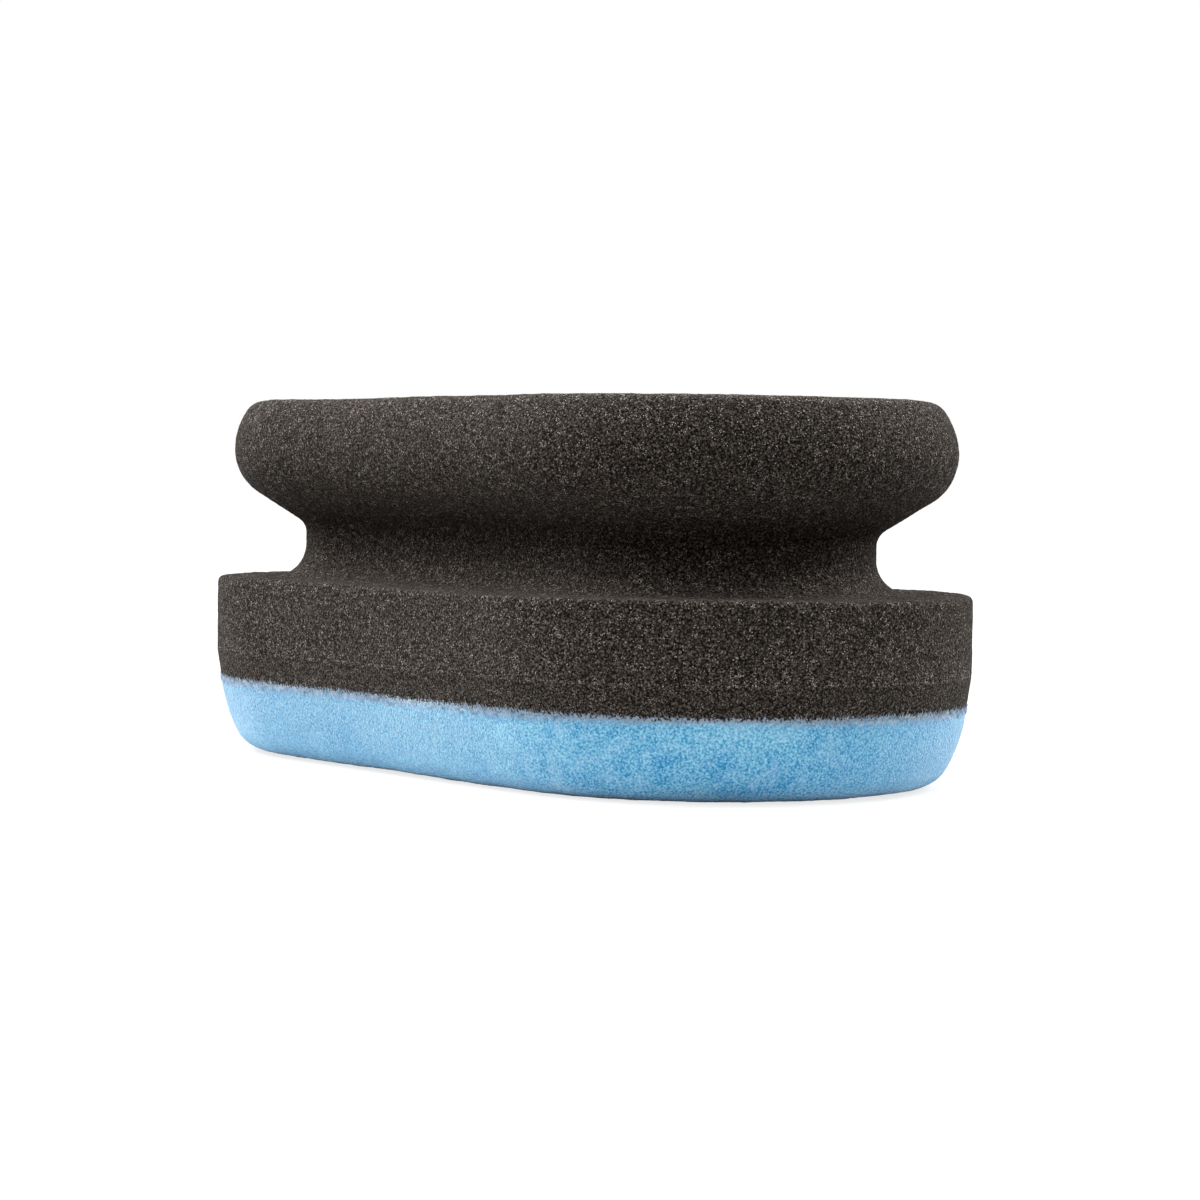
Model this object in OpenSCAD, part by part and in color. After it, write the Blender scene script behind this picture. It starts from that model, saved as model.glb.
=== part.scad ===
// Hand polishing puck: a firm black foam grip block, glued through a thin black
// backing layer to a soft blue polishing pad. It is obround in plan.
// +X runs along the puck, +Z goes up from the working face to the palm face.

/* [Plan] */
// Length over the flange, along X
puck_length = 130; // [115:1:150]
// Width over the flange, along Y
puck_width = 72; // [64:1:84]

/* [Polishing pad] */
// Thickness of the blue foam
pad_thickness = 10.5; // [9:0.5:14]
// How far the pad's top edge sits inside the flange
pad_top_inset = 0.65; // [0.4:0.05:1.2]
// Lean of the pad's side where it meets the backing, in degrees
pad_side_lean = 5.4; // [3:0.2:8]
// Radius of the slow curve down the pad's side
pad_side_radius = 20; // [18:1:24]
// Radius of the rounded edge of the working face
pad_edge_radius = 5; // [3:0.5:6]

/* [Backing and glue] */
// Thickness of the black backing layer
backing_thickness = 4; // [3:0.5:8]
// How far the backing tapers in towards the pad
backing_taper = 0.6; // [0.1:0.05:0.6]
// Thickness of each glue film
film_thickness = 0.4; // [0.3:0.05:0.8]

/* [Grip block] */
// Height of the flange wall above the backing
flange_height = 10.4; // [8:0.2:14]
// Rounding of the flange's upper lip
lip_radius = 0.8; // [0.4:0.1:2]
// Height from the flange's ledge to the palm face
handle_height = 25.9; // [25:0.1:28]
// Depth of the finger groove, from the flange wall to the neck
groove_depth = 13; // [10:0.5:15]
// Radius where the neck rises from the ledge
root_radius = 4.7; // [2:0.1:5]
// Radius where the neck turns out under the knob
throat_radius = 2.5; // [1:0.1:3]
// Slope of the knob's underside above level, in degrees
underside_slope = 32; // [28:1:36]
// How far the knob's widest line sits inside the flange
knob_inset = 2.2; // [1:0.1:4]
// Height of the knob's widest line above the ledge
knob_line_height = 18.8; // [18:0.1:20]
// Radius of the knob below its widest line
knob_lower_radius = 7.5; // [6.5:0.1:8]
// Radius of the knob above its widest line
knob_upper_radius = 10; // [9:0.5:14]
// Radius of the palm face's edge
palm_edge_radius = 3; // [2:0.5:4]

/* [Hidden] */
end_r = puck_width / 2;
half_run = (puck_length - puck_width) / 2;

// Heights of the layers, from the working face up
pad_top = pad_thickness;
backing_low = pad_top + film_thickness;
backing_top = backing_low + backing_thickness;
grip_low = backing_top + film_thickness;
ledge = grip_low + flange_height;
top = ledge + handle_height;

// Pad side curve and working edge, one arc running into the other
side_c = [
    end_r - pad_top_inset - pad_side_radius * cos(pad_side_lean),
    pad_top + pad_side_radius * sin(pad_side_lean)
];
edge_turn = asin((side_c[1] - pad_edge_radius) / (pad_side_radius - pad_edge_radius));
edge_c = [
    side_c[0] + (pad_side_radius - pad_edge_radius) * cos(edge_turn),
    pad_edge_radius
];

// Lip, neck, underside and knob
lip_c = [end_r - lip_radius, ledge - lip_radius];
neck_r = end_r - groove_depth;
root_c = [neck_r + root_radius, ledge + root_radius];
knob_r = end_r - knob_inset;
knob_z = ledge + knob_line_height;
low_c = [knob_r - knob_lower_radius, knob_z];
under_end = [
    low_c[0] + knob_lower_radius * sin(underside_slope),
    low_c[1] - knob_lower_radius * cos(underside_slope)
];
throat_x = neck_r + throat_radius;
throat_run = (throat_x - under_end[0]) * sin(underside_slope) - throat_radius;
throat_c = [throat_x, under_end[1] + throat_run / cos(underside_slope)];
up_c = [knob_r - knob_upper_radius, knob_z];
up_span = knob_upper_radius - palm_edge_radius;
palm_turn = asin((top - palm_edge_radius - knob_z) / up_span);
palm_c = [up_c[0] + up_span * cos(palm_turn), top - palm_edge_radius];

// Steps in an arc of each kind: a small edge, a quarter turn and a long slow curve
edge_steps = 4;
turn_steps = 8;
slow_steps = 5;
// Degrees left out where one arc runs into the next, so no two points coincide
arc_gap = 6;

// Points along an arc round centre c, from angle a to angle b
function arc(c, r, a, b, steps) =
    [for (i = [0:steps]) polar(c, r, a + (b - a) * i / steps)];

// The point at distance r and angle a from c
function polar(c, r, a) = c + r * [cos(a), sin(a)];

// Sweeps a half profile round the obround: two half turns and a straight run
module obround() {
    translate([half_run, 0, 0])
        rotate([0, 0, -90])
            rotate_extrude(angle = 180) children();
    translate([-half_run, 0, 0])
        rotate([0, 0, 90])
            rotate_extrude(angle = 180) children();
    translate([-half_run, 0, 0])
        rotate([90, 0, 90])
            linear_extrude(height = 2 * half_run) {
                children();
                mirror([1, 0]) children();
            }
}

// A layer with a straight wall, given the height and inset of its two edges
module plain_layer(low, high, low_inset, high_inset) {
    obround()
        polygon([
            [0, low],
            [end_r - low_inset, low],
            [end_r - high_inset, high],
            [0, high]
        ]);
}

// Flange, finger groove and knob, cut from one block of foam
module grip_block() {
    color([0.14, 0.13, 0.12])
        obround()
            polygon(concat(
                [[0, grip_low], [end_r, grip_low]],
                arc(lip_c, lip_radius, 0, 90, edge_steps),
                arc(root_c, root_radius, 270, 180, turn_steps),
                arc(throat_c, throat_radius, 180, 90 + underside_slope, edge_steps),
                arc(low_c, knob_lower_radius, underside_slope - 90, 0, turn_steps),
                arc(up_c, knob_upper_radius, arc_gap, palm_turn, slow_steps),
                arc(palm_c, palm_edge_radius, palm_turn + arc_gap, 90, turn_steps),
                [[0, top]]
            ));
}

// Glue line between the grip block and the backing
module grip_glue_film() {
    color([0.30, 0.28, 0.26])
        plain_layer(backing_top, grip_low, 0, 0);
}

// Thin black foam backing, tapering in towards the pad
module backing_layer() {
    color([0.12, 0.11, 0.11])
        plain_layer(backing_low, backing_top, backing_taper, 0);
}

// Glue line between the backing and the pad
module pad_glue_film() {
    color([0.78, 0.82, 0.86])
        plain_layer(pad_top, backing_low, pad_top_inset, backing_taper);
}

// Soft blue foam with a rounded working edge
module polishing_pad() {
    color([0.36, 0.62, 0.86])
        obround()
            polygon(concat(
                [[0, 0]],
                arc(edge_c, pad_edge_radius, -90, -edge_turn - arc_gap, turn_steps),
                arc(side_c, pad_side_radius, -edge_turn, -pad_side_lean, slow_steps),
                [[0, pad_top]]
            ));
}

grip_block();
grip_glue_film();
backing_layer();
pad_glue_film();
polishing_pad();
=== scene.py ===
# %% [markdown]
# # A two-colour foam polishing puck
# The puck is a stack of foam: a firm black grip block with a groove all round for the
# fingers, a thin black backing, and a soft blue pad that does the work. The CAD frame
# gives every size and height, and this script gives each layer its cut foam surface.

# %% Load the frame
import math
import random

import bmesh
import bpy
from mathutils import Matrix, Vector


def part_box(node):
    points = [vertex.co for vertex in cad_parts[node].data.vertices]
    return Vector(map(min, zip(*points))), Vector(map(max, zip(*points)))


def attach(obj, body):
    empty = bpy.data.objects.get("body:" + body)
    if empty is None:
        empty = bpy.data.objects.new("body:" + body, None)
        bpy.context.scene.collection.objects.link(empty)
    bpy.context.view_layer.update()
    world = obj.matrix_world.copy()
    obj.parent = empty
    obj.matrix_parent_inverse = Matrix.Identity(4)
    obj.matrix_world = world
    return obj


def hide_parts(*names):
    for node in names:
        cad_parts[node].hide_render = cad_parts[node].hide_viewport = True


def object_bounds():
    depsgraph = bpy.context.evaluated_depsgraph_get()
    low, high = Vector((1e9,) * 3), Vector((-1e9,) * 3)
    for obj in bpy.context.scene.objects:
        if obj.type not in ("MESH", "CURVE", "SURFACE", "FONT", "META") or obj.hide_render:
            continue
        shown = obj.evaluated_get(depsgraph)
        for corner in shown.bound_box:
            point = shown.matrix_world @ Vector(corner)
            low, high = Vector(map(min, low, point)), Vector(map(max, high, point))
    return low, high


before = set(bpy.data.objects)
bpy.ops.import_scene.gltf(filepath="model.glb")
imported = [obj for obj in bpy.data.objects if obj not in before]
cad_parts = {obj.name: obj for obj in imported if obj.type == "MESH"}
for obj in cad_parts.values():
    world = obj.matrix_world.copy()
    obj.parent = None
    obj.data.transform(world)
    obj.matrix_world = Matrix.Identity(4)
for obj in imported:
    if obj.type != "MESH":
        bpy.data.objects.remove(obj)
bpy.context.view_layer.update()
MM = 0.001

# %% [markdown]
# ## Camera
# The view is nearly level, from a little below the palm face, and turned so that one
# rounded end comes forward on the right. A long lens keeps the perspective mild. Three
# Euler angles would aim a camera too, but a slight roll is easier to state when it is
# built from its own three directions.

# %% Camera
view_azimuth = math.radians(52.95)
camera_distance = 458 * MM
camera_height = 40.4 * MM
aim_right = 0.0073
aim_down = 0.0369
camera_roll = 0.0143

across = Vector((math.cos(view_azimuth), math.sin(view_azimuth), 0))
away = Vector((-math.sin(view_azimuth), math.cos(view_azimuth), 0))
up = Vector((0, 0, 1))
forward = (away + aim_right * across - aim_down * up).normalized()
level_right = forward.cross(up).normalized()
level_up = level_right.cross(forward)
right = math.cos(camera_roll) * level_right + math.sin(camera_roll) * level_up
camera_up = right.cross(forward)

camera_data = bpy.data.cameras.new("camera")
camera_data.sensor_width = 36
camera_data.lens = 96.3
camera = bpy.data.objects.new("camera", camera_data)
turn = Matrix((right, camera_up, -forward)).transposed().to_4x4()
camera.matrix_world = Matrix.Translation(-away * camera_distance + up * camera_height) @ turn
bpy.context.collection.objects.link(camera)
bpy.context.scene.camera = camera
print("camera at", [round(c, 3) for c in camera.location])

# %% [markdown]
# ## Heights of the layers
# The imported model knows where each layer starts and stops, so the heights are read
# from its boxes. The two glue lines are thin slices between the foams.

# %% Heights and plan
pad_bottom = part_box("polishing_pad")[0].z
pad_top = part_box("polishing_pad")[1].z
backing_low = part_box("backing_layer")[0].z
backing_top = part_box("backing_layer")[1].z
grip_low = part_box("grip_block")[0].z
palm_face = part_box("grip_block")[1].z

flange_low, flange_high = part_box("grip_block")
end_radius = (flange_high.y - flange_low.y) / 2
half_run = (flange_high.x - flange_low.x) / 2 - end_radius
pad_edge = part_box("polishing_pad")[1].y
print("end radius", round(end_radius / MM, 1), "half run", round(half_run / MM, 1), "mm")

# %% [markdown]
# ## The outline of the cut
# Each layer could be modelled by itself, but the real stack is glued first and then cut
# and ground to shape, so all layers share one outside surface. The whole stack is
# therefore drawn as one half profile and sliced into its layers later. The profile is a
# chain of vertices: a straight stretch extrudes the last vertex, and a round stretch
# spins it about the centre of its arc.

# %% Profile tools
def at_radius(r, z):
    """A point of the half profile, which stands across the puck at its right end."""
    return Vector((half_run, -r, z))


def line_to(bm, vert, r, z):
    end = bmesh.ops.extrude_vert_indiv(bm, verts=[vert])["verts"][0]
    end.co = at_radius(r, z)
    return end


def arc_about(bm, vert, centre, degrees):
    """Spins the last vertex about centre, anticlockwise when degrees is positive."""
    steps = max(2, round(abs(degrees) / 5))
    spun = bmesh.ops.spin(
        bm, geom=[vert], cent=at_radius(*centre), axis=(1, 0, 0),
        angle=-math.radians(degrees), steps=steps, use_merge=False, use_duplicate=False,
    )
    return [part for part in spun["geom_last"] if isinstance(part, bmesh.types.BMVert)][0]


# %% Sizes of the curves
pad_edge_radius = 5 * MM
pad_side_radius = 20 * MM
pad_side_lean = 5.4
lip_radius = 0.8 * MM
ledge = grip_low + 10.4 * MM
neck_r = end_radius - 13 * MM
root_radius = 4.7 * MM
throat_radius = 2.5 * MM
slope = 32
knob_r = end_radius - 2.2 * MM
knob_z = ledge + 18.8 * MM
knob_lower_radius = 7.5 * MM
knob_upper_radius = 10 * MM
palm_edge_radius = 3 * MM
print("groove is", round((end_radius - neck_r) / MM, 1), "mm deep, under a knob",
      round(2 * knob_r / MM, 1), "mm across")

# %% Centres of the arcs
def polar(length, degrees):
    return length * math.cos(math.radians(degrees)), length * math.sin(math.radians(degrees))


side_dx, side_dz = polar(pad_side_radius, pad_side_lean)
side_centre = (pad_edge - side_dx, pad_top + side_dz)
pad_span = pad_side_radius - pad_edge_radius
edge_turn = math.degrees(math.asin((side_centre[1] - pad_edge_radius) / pad_span))
edge_centre = (side_centre[0] + polar(pad_span, edge_turn)[0], pad_edge_radius)

low_centre = (knob_r - knob_lower_radius, knob_z)
under_dx, under_dz = polar(knob_lower_radius, slope - 90)
under_end = (low_centre[0] + under_dx, low_centre[1] + under_dz)
throat_x = neck_r + throat_radius
slope_cos, slope_sin = polar(1, slope)
throat_run = (throat_x - under_end[0]) * slope_sin - throat_radius
throat_centre = (throat_x, under_end[1] + throat_run / slope_cos)

upper_centre = (knob_r - knob_upper_radius, knob_z)
knob_span = knob_upper_radius - palm_edge_radius
palm_turn = math.degrees(math.asin((palm_face - palm_edge_radius - knob_z) / knob_span))
palm_centre = (upper_centre[0] + polar(knob_span, palm_turn)[0], palm_face - palm_edge_radius)
print("the pad's two arcs meet", round(edge_turn, 1), "degrees below level, and the knob's",
      "upper two", round(palm_turn, 1), "degrees above it")

# %% Draw the half profile
stack = bmesh.new()
pen = stack.verts.new(at_radius(0, pad_bottom))
pen = line_to(stack, pen, edge_centre[0], pad_bottom)
pen = arc_about(stack, pen, edge_centre, 90 - edge_turn)
pen = arc_about(stack, pen, side_centre, edge_turn - pad_side_lean)
pen = line_to(stack, pen, end_radius, backing_top)
pen = line_to(stack, pen, end_radius, ledge - lip_radius)
pen = arc_about(stack, pen, (end_radius - lip_radius, ledge - lip_radius), 90)
pen = line_to(stack, pen, neck_r + root_radius, ledge)
pen = arc_about(stack, pen, (neck_r + root_radius, ledge + root_radius), -90)
pen = line_to(stack, pen, neck_r, throat_centre[1])
pen = arc_about(stack, pen, throat_centre, slope - 90)
pen = line_to(stack, pen, *under_end)
pen = arc_about(stack, pen, low_centre, 90 - slope)
pen = arc_about(stack, pen, upper_centre, palm_turn)
pen = arc_about(stack, pen, palm_centre, 90 - palm_turn)
pen = line_to(stack, pen, 0, palm_face)
print("profile drawn with", len(stack.verts), "vertices")

# %% [markdown]
# ## Sweep it round
# In plan the puck is a running track: two half turns joined by straight runs. A Screw
# modifier can turn a profile but can't add the runs between, so a spin makes each half
# turn and an extrusion makes each run. The ends of the profile lie on the spin's own axis,
# so their copies fall together, and merging them closes the skin.

# %% Sweep the profile round the track
END_STEPS = 72


def half_turn(bm, parts, x):
    spun = bmesh.ops.spin(
        bm, geom=parts, cent=(x, 0, 0), axis=(0, 0, 1), angle=math.pi,
        steps=END_STEPS, use_merge=False, use_duplicate=False,
    )
    return [part for part in spun["geom_last"] if isinstance(part, bmesh.types.BMEdge)]


def straight_run(bm, edges, distance):
    run = bmesh.ops.extrude_edge_only(bm, edges=edges)["geom"]
    verts = [part for part in run if isinstance(part, bmesh.types.BMVert)]
    bmesh.ops.translate(bm, vec=(distance, 0, 0), verts=verts)
    return [part for part in run if isinstance(part, bmesh.types.BMEdge)
            and part.verts[0] in set(verts) and part.verts[1] in set(verts)]


back_edges = half_turn(stack, stack.verts[:] + stack.edges[:], half_run)
far_edges = straight_run(stack, back_edges, -2 * half_run)
far_verts = list({vert for edge in far_edges for vert in edge.verts})
near_edges = half_turn(stack, far_verts + far_edges, -half_run)
straight_run(stack, near_edges, 2 * half_run)
bmesh.ops.remove_doubles(stack, verts=stack.verts[:], dist=0.001 * MM)
bmesh.ops.recalc_face_normals(stack, faces=stack.faces[:])
open_edges = [edge for edge in stack.edges if not edge.is_manifold]
print("stack has", len(stack.faces), "faces and", len(open_edges), "open edges")

# %% [markdown]
# ## Give it the skin of cut foam
# Foam is never as true as a turned part: the wall wanders a little, and up close it is
# a field of cut cells. Bump alone would leave the outline smooth, so the cells are real
# mesh. A voxel remesh lays an even grid of small faces over the whole stack, whatever the
# profile's own faces were, and three displacements push that grid in and out: a slow one
# for the wander, one for lumps the size of a lentil, and a fine one for the cells. They
# read the object's own coordinates, so nothing slides.

# %% Displacement tools
def clouds(name, size, depth):
    texture = bpy.data.textures.new(name, "CLOUDS")
    texture.noise_scale = size
    texture.noise_depth = depth
    return texture


def push(obj, name, size, height, depth=0):
    step = obj.modifiers.new(name, "DISPLACE")
    step.texture = clouds(name, size, depth)
    step.texture_coords = "LOCAL"
    step.mid_level = 0.5
    step.strength = height


def bake_modifiers(obj):
    """Turns the object's modifiers into plain mesh."""
    graph = bpy.context.evaluated_depsgraph_get()
    mesh = bpy.data.meshes.new_from_object(obj.evaluated_get(graph))
    obj.modifiers.clear()
    obj.data = mesh


# %% Remesh and displace
VOXEL = 0.34 * MM

stack_mesh = bpy.data.meshes.new("stack")
stack.to_mesh(stack_mesh)
stack.free()
blank = bpy.data.objects.new("stack", stack_mesh)
bpy.context.collection.objects.link(blank)

grid = blank.modifiers.new("grid", "REMESH")
grid.mode = "VOXEL"
grid.voxel_size = VOXEL
grid.use_smooth_shade = True
push(blank, "wander", 26 * MM, 0.35 * MM)
push(blank, "lumps", 3.2 * MM, 0.10 * MM)
push(blank, "cells", 0.7 * MM, 0.13 * MM, depth=1)
bake_modifiers(blank)
print("foam skin has", len(blank.data.polygons), "faces")

# %% [markdown]
# ## Slice the layers
# A Boolean could cut the stack, but the cuts are all level, and a bisection is faster and
# leaves one loop of edges to fill flat. Two bisections free a layer inside the stack, and
# one is enough for the top or the bottom. The walls of neighbouring layers then meet
# exactly, as they do on a stack that was cut in one go.

# %% Slicing tools
def cut_away(bm, z, upwards):
    """Removes everything above z, or below it, and closes the cut with a flat face."""
    direction = 1 if upwards else -1
    cut = bmesh.ops.bisect_plane(
        bm, geom=bm.verts[:] + bm.edges[:] + bm.faces[:], dist=1e-7,
        plane_co=(0, 0, z), plane_no=(0, 0, direction), clear_outer=True,
    )
    rim = [part for part in cut["geom_cut"] if isinstance(part, bmesh.types.BMEdge)]
    filled = bmesh.ops.edgeloop_fill(bm, edges=rim)["faces"]
    for face in filled:
        face.smooth = False


def slice_layer(name, node, low=None, high=None):
    bm = bmesh.new()
    bm.from_mesh(blank.data)
    if low is not None:
        cut_away(bm, low, upwards=False)
    if high is not None:
        cut_away(bm, high, upwards=True)
    bmesh.ops.recalc_face_normals(bm, faces=bm.faces[:])
    mesh = bpy.data.meshes.new(name)
    bm.to_mesh(mesh)
    gaps = sum(not edge.is_manifold for edge in bm.edges)
    bm.free()
    layer = bpy.data.objects.new(name, mesh)
    bpy.context.collection.objects.link(layer)
    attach(layer, "root")
    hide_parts(node)
    print(name, len(mesh.polygons), "faces,", gaps, "open edges")
    return layer


# %% Slice the layers
grip = slice_layer("grip_foam", "grip_block", low=grip_low)
grip_glue = slice_layer("grip_glue_line", "grip_glue_film", low=backing_top, high=grip_low)
backing = slice_layer("backing_foam", "backing_layer", low=backing_low, high=backing_top)
pad_glue = slice_layer("pad_glue_line", "pad_glue_film", low=pad_top, high=backing_low)
pad = slice_layer("pad_foam", "polishing_pad", high=pad_top)
bpy.data.objects.remove(blank)

# %% [markdown]
# ## The layers
# The foams are soft goods: the black foams are firm and the blue one is soft. Here the
# layers are only listed; each takes the material slot that the CAD gives its part later,
# when it is painted.

# %% The layers
print("slots given to", [layer.name for layer in (grip, grip_glue, backing, pad_glue, pad)])

# %% [markdown]
# ## Fuzz at the change of colour
# Grinding the wall drags torn ends of the soft blue foam up over the black. They show as
# a whitish fringe along the joint. Particle hair could grow them, but plain mesh is what
# other programs read. So each torn end is a thin three-sided spike, set on the wall by its
# distance round the track, leaning a little out and to one side.

# %% A place on the track
def on_track(distance, inset):
    """A point on the outline and the direction out of it, by distance round the track."""
    radius = end_radius - inset
    half_circle = math.pi * end_radius
    distance %= 4 * half_run + 2 * half_circle
    flip = 1
    if distance >= 2 * half_run + half_circle:
        distance -= 2 * half_run + half_circle
        flip = -1
    if distance < 2 * half_run:
        place = Vector((distance - half_run, -radius, 0))
        out = Vector((0, -1, 0))
    else:
        angle = (distance - 2 * half_run) / end_radius - math.pi / 2
        out = Vector((math.cos(angle), math.sin(angle), 0))
        place = Vector((half_run, 0, 0)) + radius * out
    return flip * place, flip * out


track_length = 4 * half_run + 2 * math.pi * end_radius
print("the track is", round(track_length / MM), "mm round")

# %% Fringe of torn foam
fringe_count = 5200
fringe_inset = end_radius - pad_edge
dice = random.Random(7)

fringe_bm = bmesh.new()
for i in range(fringe_count):
    place, out = on_track(track_length * (i + dice.random()) / fringe_count, fringe_inset)
    length = dice.triangular(0.25, 1.0, 0.35) * MM
    aim = up + out * dice.uniform(0.0, 0.5) + out.cross(up) * dice.gauss(0, 0.45)
    foot = place + up * (pad_top + dice.uniform(-0.7, 0.45) * MM)
    middle = foot + aim.normalized() * length / 2
    stand = Matrix.Translation(middle) @ aim.to_track_quat("Z", "Y").to_matrix().to_4x4()
    bmesh.ops.create_cone(
        fringe_bm, cap_ends=True, segments=3, radius1=0.055 * MM, radius2=0.015 * MM,
        depth=length, matrix=stand,
    )
fringe_mesh = bpy.data.meshes.new("pad_fringe")
fringe_bm.to_mesh(fringe_mesh)
fringe_bm.free()
fringe = bpy.data.objects.new("pad_fringe", fringe_mesh)
bpy.context.collection.objects.link(fringe)
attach(fringe, "root")
print("fringe of", fringe_count, "torn ends")

# %% [markdown]
# ## Shader maths that reads as sums
# A finish is a chain of nodes. Wire wraps one node output, so that plain Python sums
# add the Math nodes, and Finish makes every other node with a single method.

# %% Wire
class Wire:
    def __init__(self, finish, socket):
        self.finish = finish
        self.socket = socket

    def math(self, operation, first, second):
        return self.finish.node("ShaderNodeMath", {"operation": operation}, {0: first, 1: second})

    def __add__(self, other):
        return self.math("ADD", self, other)

    def __sub__(self, other):
        return self.math("SUBTRACT", self, other)

    def __rsub__(self, other):
        return self.math("SUBTRACT", other, self)

    def __mul__(self, other):
        return self.math("MULTIPLY", self, other)

    __radd__ = __add__
    __rmul__ = __mul__


# %% Finish
class Finish:
    def __init__(self, name):
        self.material = bpy.data.materials.new(name)
        self.material.use_nodes = True
        self.nodes = self.material.node_tree.nodes
        self.links = self.material.node_tree.links
        self.shader = self.nodes["Principled BSDF"]
        self.place = self.node("ShaderNodeTexCoord", out="Object")

    def node(self, kind, settings=None, inputs=None, out=0):
        made = self.nodes.new(kind)
        for key, value in (settings or {}).items():
            setattr(made, key, value)
        for key, value in (inputs or {}).items():
            if isinstance(value, Wire):
                self.links.new(value.socket, made.inputs[key])
            else:
                made.inputs[key].default_value = value
        return Wire(self, made.outputs[out])

    def blend(self, mask, low, high):
        return self.node("ShaderNodeMix", {"data_type": "RGBA"}, {0: mask, 6: low, 7: high}, out=2)

    def step(self, wire, low, high):
        """0 below low, 1 above high, and a soft rise between them."""
        return self.node("ShaderNodeMapRange", {"interpolation_type": "SMOOTHSTEP"},
                         {"Value": wire, "From Min": low, "From Max": high})

    def noise(self, size, detail=2.0, bend=0.0):
        return self.node("ShaderNodeTexNoise", None, {
            "Vector": self.place, "Scale": 1 / size, "Detail": detail, "Distortion": bend})

    def cells(self, size):
        return self.node("ShaderNodeTexVoronoi", None, {"Vector": self.place, "Scale": 1 / size})

    def feed(self, socket, value):
        if isinstance(value, Wire):
            self.links.new(value.socket, self.shader.inputs[socket])
        else:
            self.shader.inputs[socket].default_value = value

    def bump(self, height, depth, strength):
        self.feed("Normal", self.node("ShaderNodeBump", None, {
            "Height": height, "Distance": depth, "Strength": strength}))

    def paint(self, *pieces):
        for piece in pieces:
            piece.data.materials.clear()
            piece.data.materials.append(self.material)
        print(self.material.name, "has", len(self.nodes), "nodes, on", [p.name for p in pieces])


# %% [markdown]
# ## Black foam
# Open-cell foam is a mesh of struts round dark cells. From arm's length the cut strut ends
# read as fine grains of light on black, about a third of a millimetre apart. A noise
# texture alone would look like felt, so two sizes of Voronoi dots make the colour and the
# bump, and noise only varies how strong they are. A few ends lie flat to the light and
# glint, and these glints are painted highlights: spots of near-white painted into the base
# colour, where the foam is also made less rough.

# %% Black foam
pore_black = (0.0025, 0.0020, 0.0015, 1)
painted_glint_white = (0.55, 0.52, 0.48, 1)


def foam_grain(foam, size):
    coarse = 1 - foam.step(foam.cells(size), 0.10, 0.62)
    fine = 1 - foam.step(foam.cells(0.62 * size), 0.10, 0.66)
    uneven = foam.step(foam.noise(1.2 * size, 2.0), 0.36, 0.66)
    return (coarse * 0.6 + fine * 0.4) * (0.40 + uneven * 0.60)


def black_foam(name, size, strut, glints):
    foam = Finish(name)
    grain = foam_grain(foam, size)
    # Painted highlights: the glint spots are painted near-white into the base colour.
    glint_spots = 1 - foam.step(foam.cells(0.8 * size), 0.14, 0.34)
    lone = foam.step(foam.noise(2.4 * size, 0.0), 0.57, 0.61)
    glint = glint_spots * lone * glints
    foam.tone = foam.blend(glint, foam.blend(grain, pore_black, strut), painted_glint_white)
    foam.feed("Base Color", foam.tone)
    foam.feed("Roughness", 0.95 - glint * 0.45)
    foam.feed("Specular IOR Level", 0.12)
    foam.bump(grain, 0.22 * MM, 0.8)
    return foam


# %% Grip block and its glue line
black_foam("firm_black_foam", 0.34 * MM, (0.272, 0.226, 0.192, 1), 1.0).paint(grip)
black_foam("dark_glue", 0.34 * MM, (0.420, 0.352, 0.305, 1), 1.6).paint(grip_glue)

# %% [markdown]
# ## Where black meets blue
# The joint between black and blue isn't a ruled line. Grinding smears torn blue fibre a
# little way up the black, and black shows through gaps in the top of the blue. Torn edges
# in the mesh would need far smaller faces, so a ragged mask is made from height plus noise,
# and each side of the joint is painted with some of the other's colour. A second mask
# picks out the part of the puck that was brushed about after grinding. It is a soft band
# that crosses the puck at an angle, and in it the torn fibre is painted darker: this is
# painted shade, as the middle of the fringe catches less light than its ends.

# %% Masks at the joint
torn_white = (0.42, 0.52, 0.62, 1)
shaded_blue = (0.05, 0.15, 0.30, 1)
brush_azimuth = math.radians(52.95)
brush_direction = (math.cos(brush_azimuth), math.sin(brush_azimuth), 0)


def height_in(foam):
    return foam.node("ShaderNodeSeparateXYZ", None, {"Vector": foam.place}, out="Z")


def above_joint(foam, wander, start, end):
    """0 at start above the joint and 1 at end, with a ragged edge."""
    ragged = height_in(foam) + (foam.noise(0.34 * MM, 2.0) - 0.5) * wander
    return foam.step(ragged, pad_top + start, pad_top + end)


def brushing(foam):
    """Two masks: the band that was brushed about, where painted shade is also laid, and the part
    of the puck before it.
    """
    reached = foam.node("ShaderNodeVectorMath", {"operation": "DOT_PRODUCT"},
                        {0: foam.place, 1: brush_direction}, out="Value")
    begun = foam.step(reached, -20 * MM, 0)
    ended = foam.step(reached, 26 * MM, 43 * MM)
    return begun * (1 - ended), 1 - begun


def torn_colour(foam, colour):
    """The colour of torn fibre, painted darker in the brushed band as painted shade."""
    return foam.blend(brushing(foam)[0] * 0.3, colour, shaded_blue)


# %% Backing foam and pad glue line
for slot_name, layer in (("backing_foam", backing), ("pale_glue", pad_glue)):
    smeared = black_foam(slot_name, 0.32 * MM, (0.245, 0.204, 0.173, 1), 0.6)
    clear_of_fuzz = above_joint(smeared, 2.4 * MM, 0.1 * MM, 0.6 * MM)
    # Painted shade: the smeared torn fibre is painted darker in the brushed band.
    smeared.feed("Base Color", smeared.blend(
        clear_of_fuzz, torn_colour(smeared, torn_white), smeared.tone))
    smeared.paint(layer)
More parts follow.
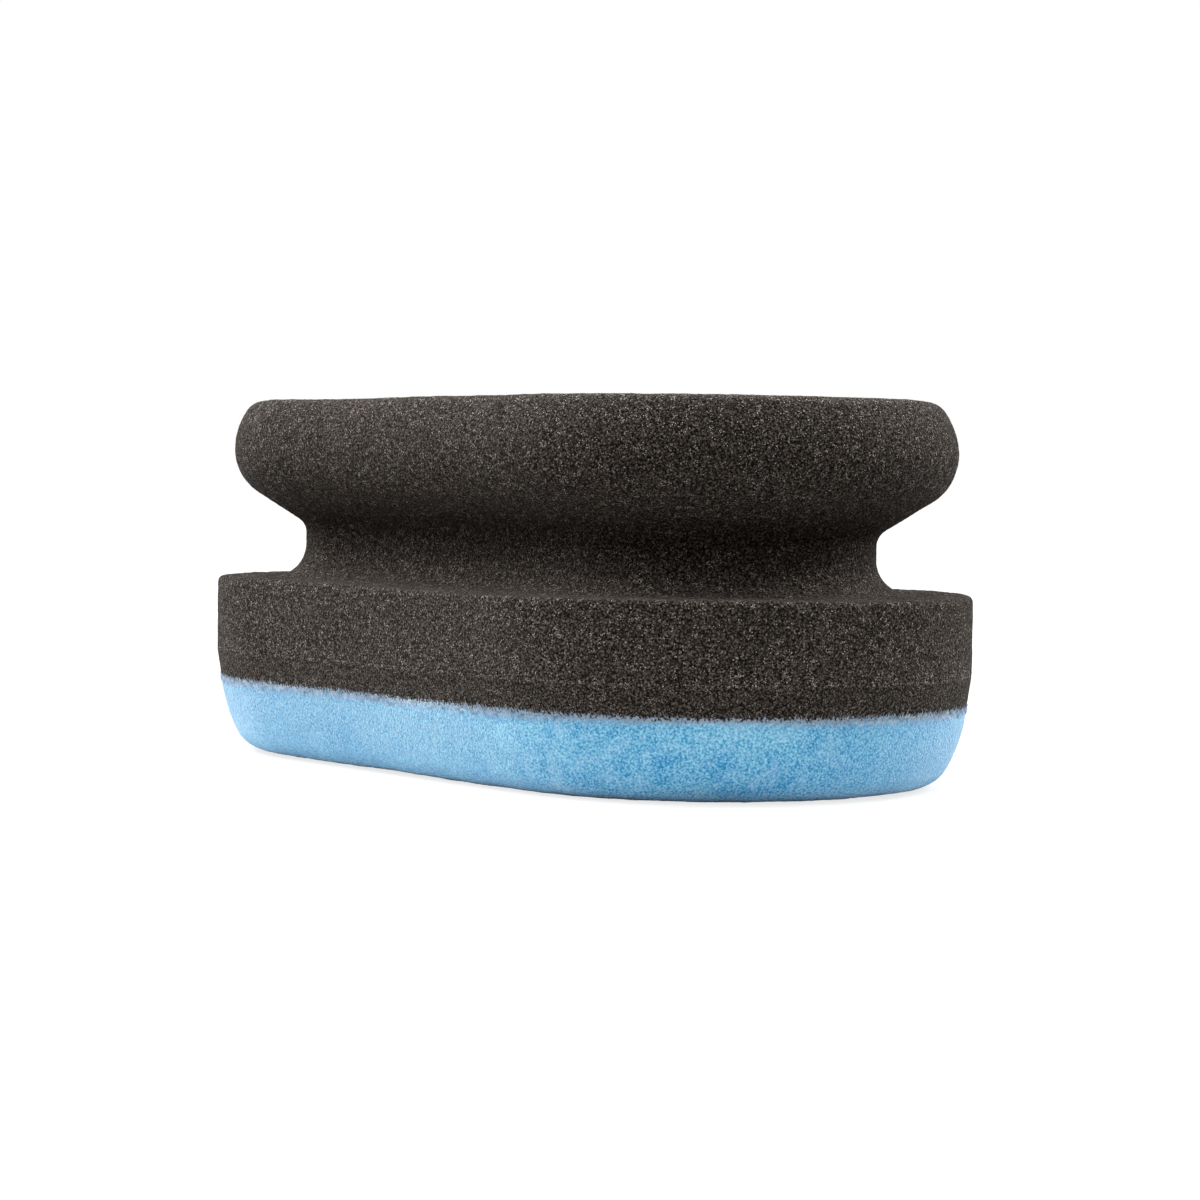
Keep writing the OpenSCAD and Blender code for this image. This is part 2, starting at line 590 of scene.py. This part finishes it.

# %% [markdown]
# ## Blue foam
# The blue foam is softer, and grinding leaves a short velvet on it. Where the nap has been
# brushed this way and that, it shows pale strokes on deeper blue, and there the colour also
# holds painted shade: lighter towards the top of the pad and darker low down. Before that
# band it is chalkier towards its top. All round, the top edge of the blue is torn and pale,
# with painted shade on it in the brushed band. Hair would show the nap from very near, but
# at arm's length its colour is what tells, so it is painted in layers: the velvet first,
# then the strokes, the chalk and the torn top.

# %% Velvet of the blue foam
blue = Finish("soft_blue_foam")
grain = blue.step(blue.noise(0.30 * MM, 2.0), 0.34, 0.66)
dots = 1 - blue.step(blue.cells(0.34 * MM), 0.10, 0.66)
drift = blue.step(blue.noise(14 * MM, 2.0), 0.3, 0.7)
velvet = grain * 0.50 + dots * 0.34 + drift * 0.16
blue.bump(grain * 0.5 + dots * 0.5, 0.20 * MM, 0.7)
print("velvet:", len(blue.nodes), "nodes so far")

# %% Brushed strokes
deep_blue = (0.006, 0.270, 0.600, 1)
sky_blue = (0.350, 0.750, 0.925, 1)
nap_low = (0.200, 0.480, 0.780, 1)
nap_high = (0.520, 0.850, 1.000, 1)

brushed, before_band = brushing(blue)
strokes = blue.step(blue.noise(2.8 * MM, 5.0, bend=0.8), 0.48, 0.68)
hollows = blue.step(blue.noise(4.2 * MM, 3.0), 0.46, 0.64)
# Painted shade: in the brushed band the blue is painted lighter towards the top of the pad and
# darker low down.
painted_height_shade = blue.step(height_in(blue), 0, 0.8 * pad_top) - 0.35
ruffled_and_shaded = velvet + ((velvet - 0.5) * 0.3 + painted_height_shade * 0.22 - hollows * 0.18) * brushed
body = blue.blend(ruffled_and_shaded, deep_blue, sky_blue)
body = blue.blend(strokes * (0.15 + brushed * 0.40), body, blue.blend(velvet, nap_low, nap_high))
print("strokes:", len(blue.nodes), "nodes so far")

# %% Chalky nap and torn top
chalk_low = (0.000, 0.200, 0.450, 1)
chalk_high = (0.370, 0.640, 0.730, 1)
torn_blue = (0.48, 0.66, 0.84, 1)
notch_black = (0.06, 0.07, 0.09, 1)

chalky = blue.step(height_in(blue), pad_top - 9 * MM, pad_top - 2 * MM) * before_band
body = blue.blend(chalky * 0.5, body, blue.blend(velvet, chalk_low, chalk_high))
torn = above_joint(blue, 2.4 * MM, -1.0 * MM, 0.1 * MM)
# Painted shade: the torn top of the blue is painted darker in the brushed band.
body = blue.blend(torn * 0.40, body, torn_colour(blue, torn_blue))
notch = above_joint(blue, 2.6 * MM, 0.05 * MM, 0.50 * MM)
blue.feed("Base Color", blue.blend(notch, body, notch_black))
print("chalk and torn top:", len(blue.nodes), "nodes so far")

# %% Sheen of the nap
blue.feed("Roughness", 0.95)
blue.feed("Specular IOR Level", 0.15)
blue.feed("Sheen Weight", 0.6)
blue.feed("Sheen Roughness", 0.5)
blue.feed("Sheen Tint", (0.94, 0.95, 1.0, 1))
blue.paint(pad)

# %% [markdown]
# ## Fringe
# The torn ends are of the same blue foam, but thin enough to look bleached, some more than
# others. A noise texture picks the tone, so that ends that lie together look alike.

# %% Fringe finish
fibre_root = (0.17, 0.31, 0.46, 1)
fibre_tip = (0.64, 0.74, 0.86, 1)

torn_foam = Finish("torn_blue_foam")
torn_tone = torn_foam.step(torn_foam.noise(0.7 * MM, 2.0), 0.30, 0.70)
fibre = torn_foam.blend(torn_tone, fibre_root, fibre_tip)
# Painted shade: the torn ends are painted darker in the brushed band.
torn_foam.feed("Base Color", torn_colour(torn_foam, fibre))
torn_foam.feed("Roughness", 0.85 + torn_tone * 0.1)
torn_foam.feed("Sheen Weight", 0.5)
torn_foam.paint(fringe)

# %% [markdown]
# ## Studio
# Most of the light comes from overhead, as it does under a softbox, so the groove stays
# dark and the lip of the flange catches a line of light. A soft lamp on each side lifts
# the walls that turn away from the view. The floor and the surround are white to look
# at, so that the floor's far edge can't be seen, but they give little light, which keeps
# black foam black. Only the floor close to the puck throws light back up, under the
# rounded edge of the pad.

# %% Floor
FLOOR_RADIUS = 6
floor_height = min(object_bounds()[0].z, 0)

floor_bm = bmesh.new()
bmesh.ops.create_circle(floor_bm, cap_ends=True, segments=64, radius=FLOOR_RADIUS,
                        matrix=Matrix.Translation((0, 0, floor_height)))
floor_mesh = bpy.data.meshes.new("floor")
floor_bm.to_mesh(floor_mesh)
floor_bm.free()
floor = bpy.data.objects.new("floor", floor_mesh)
bpy.context.collection.objects.link(floor)
print("floor at", round(floor_height / MM, 2), "mm")

# %% Floor finish
pale_floor = Finish("pale_floor")
seen = pale_floor.node("ShaderNodeLightPath", out="Is Camera Ray")
reach = pale_floor.node("ShaderNodeVectorMath", {"operation": "LENGTH"},
                        {0: pale_floor.place}, out="Value")
bounce = pale_floor.blend(pale_floor.step(reach, 80 * MM, 120 * MM),
                          (0.70, 0.70, 0.70, 1), (0.10, 0.10, 0.10, 1))
pale_floor.feed("Base Color", pale_floor.blend(seen, bounce, (0.22, 0.22, 0.22, 1)))
# Painted light: the floor glows white to the camera, which also lightens the puck's shadow on it.
pale_floor.feed("Emission Color", pale_floor.blend(seen, (0, 0, 0, 1), (0.77, 0.77, 0.77, 1)))
pale_floor.feed("Emission Strength", 1)
pale_floor.feed("Roughness", 0.9)
pale_floor.feed("Specular IOR Level", 0)
pale_floor.paint(floor)

# %% Surround
world = bpy.data.worlds.new("surround")
world.use_nodes = True
sky = world.node_tree
fill = sky.nodes["Background"]
fill.inputs["Color"].default_value = (1, 1, 1, 1)
fill.inputs["Strength"].default_value = 0.18
backdrop = sky.nodes.new("ShaderNodeBackground")
backdrop.inputs["Color"].default_value = (1, 1, 1, 1)
ray = sky.nodes.new("ShaderNodeLightPath")
either = sky.nodes.new("ShaderNodeMixShader")
sky.links.new(ray.outputs["Is Camera Ray"], either.inputs[0])
sky.links.new(fill.outputs[0], either.inputs[1])
sky.links.new(backdrop.outputs[0], either.inputs[2])
sky.links.new(either.outputs[0], sky.nodes["World Output"].inputs["Surface"])
bpy.context.scene.world = world
print("surround gives", fill.inputs["Strength"].default_value, "of the light it shows")

# %% Lamps
lamp_size = 0.5
lamp_side = 0.66
lamp_behind = 0.24
lamp_height = 0.50


def place_lamp(lamp_data, place):
    lamp = bpy.data.objects.new(lamp_data.name, lamp_data)
    lamp.location = place
    lamp.rotation_euler = (-Vector(place)).to_track_quat("-Z", "Y").to_euler()
    bpy.context.collection.objects.link(lamp)


def soft_lamp(name, place, power):
    lamp_data = bpy.data.lights.new(name, "AREA")
    lamp_data.shape = "DISK"
    lamp_data.size = lamp_size
    lamp_data.energy = power
    place_lamp(lamp_data, place)


overhead = bpy.data.lights.new("overhead", "SUN")
overhead.energy = 3.9
overhead.angle = math.radians(110)
place_lamp(overhead, up)
soft_lamp("left_side", -lamp_side * across + lamp_behind * away + lamp_height * up, 8.0)
soft_lamp("right_side", lamp_side * across + lamp_behind * away + lamp_height * up, 6.0)
bpy.context.scene.view_settings.view_transform = "Standard"
print("lamps:", [light.name for light in bpy.data.lights])
